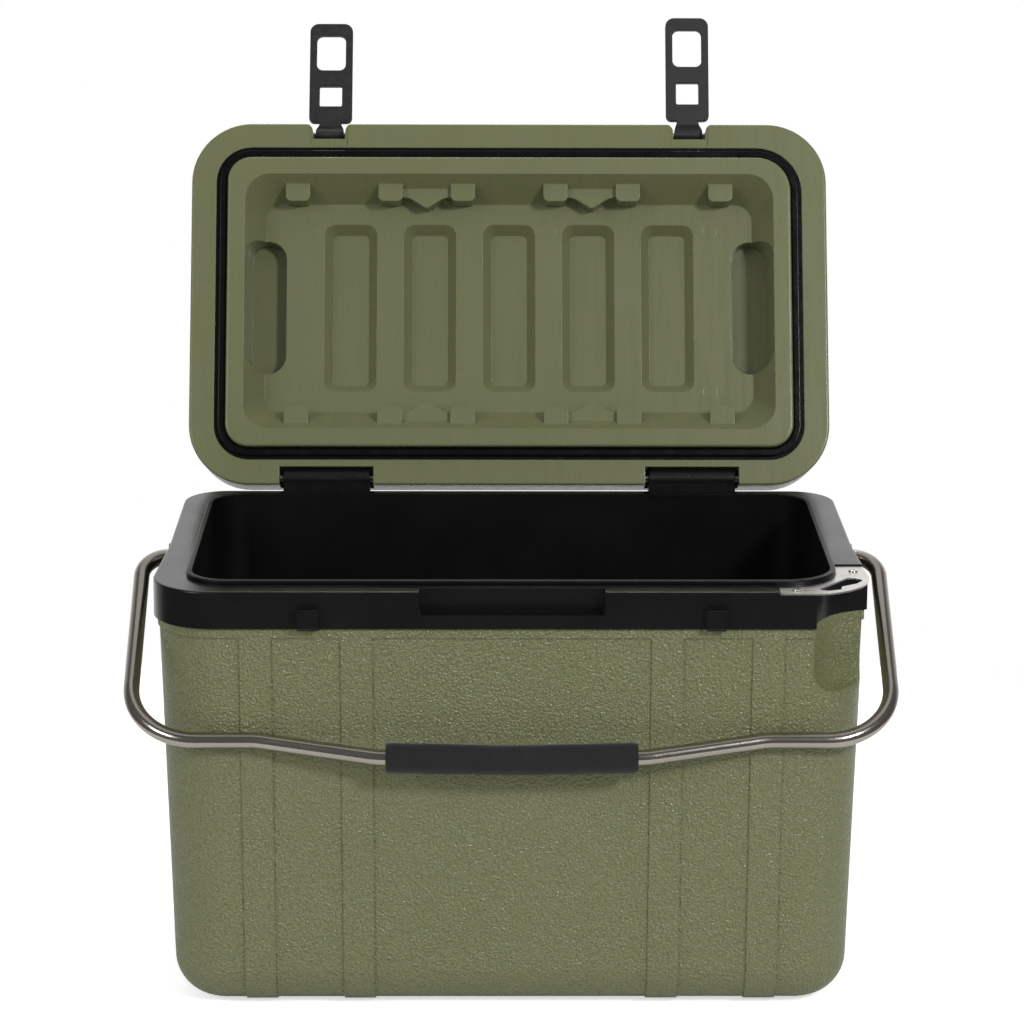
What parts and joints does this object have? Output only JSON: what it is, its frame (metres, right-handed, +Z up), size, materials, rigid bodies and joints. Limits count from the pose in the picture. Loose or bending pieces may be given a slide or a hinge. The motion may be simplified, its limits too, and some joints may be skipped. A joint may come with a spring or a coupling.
{
  "type": "hard_cooler",
  "caption": "Hard-sided cooler with an olive body, black rim, open hinged lid with rubber strap latches, steel bail with foam grip and a corner bottle opener",
  "frame": {"origin": "centre of the flat underside that it stands on, with the body's depth centred on y = 0", "axes": "+X to the right seen from the front, +Y to the back, +Z up"},
  "size_m": [0.5534, 0.4834, 0.6672],
  "materials": {
    "olive_plastic": "fine stipple grain",
    "olive_satin": "smooth satin",
    "black_plastic": "smooth satin",
    "hinge_plastic": "smooth satin",
    "bush_plastic": "moulded",
    "insulation": "rigid closed-cell foam",
    "seal_rubber": "soft extrusion",
    "strap_rubber": "smooth moulded",
    "grip_foam": "closed-cell foam skin",
    "tube_steel": "polished stainless",
    "pin_steel": "ground",
    "stainless": "satin stainless",
    "bright_screws": "polished",
    "dark_screws": "black oxide"
  },
  "bodies": {
    "body": {"outer_shell": "olive_plastic", "foam_core": "insulation", "tub_liner": "black_plastic", "rim_frame": "black_plastic", "bottle_opener": "stainless", "opener_screws": "bright_screws", "left_hinge_block": "hinge_plastic", "right_hinge_block": "hinge_plastic", "hinge_screws": "dark_screws", "left_pivot_bush": "bush_plastic", "right_pivot_bush": "bush_plastic"},
    "lid": {"lid_outer_shell": "olive_plastic", "lid_foam": "insulation", "lid_liner": "olive_satin", "lid_gasket": "seal_rubber", "left_hinge_pin": "pin_steel", "right_hinge_pin": "pin_steel", "left_latch_pin": "pin_steel", "right_latch_pin": "pin_steel"},
    "left_strap": {"left_latch": "strap_rubber"},
    "right_strap": {"right_latch": "strap_rubber"},
    "bail": {"bail_handle": "tube_steel", "foam_grip": "grip_foam", "bail_retainers": "bush_plastic"}
  },
  "joints": [
    {"name": "lid_hinge", "type": "hinge", "parent": "body", "child": "lid", "pos_m": [0, 0.1371, 0.329], "axis": [1, 0, 0], "range_deg": [0, 113.2]},
    {"name": "left_latch_turn", "type": "hinge", "parent": "lid", "child": "left_strap", "pos_m": [-0.1415, 0.25019, 0.58016], "axis": [1, 0, 0], "range_deg": [-23, 97]},
    {"name": "right_latch_turn", "type": "hinge", "parent": "lid", "child": "right_strap", "pos_m": [0.1415, 0.25019, 0.58016], "axis": [1, 0, 0], "range_deg": [-30, 90]},
    {"name": "bail_swing", "type": "hinge", "parent": "body", "child": "bail", "pos_m": [0, 0, 0.303], "axis": [-1, 0, 0], "range_deg": [0, 165]}
  ]
}
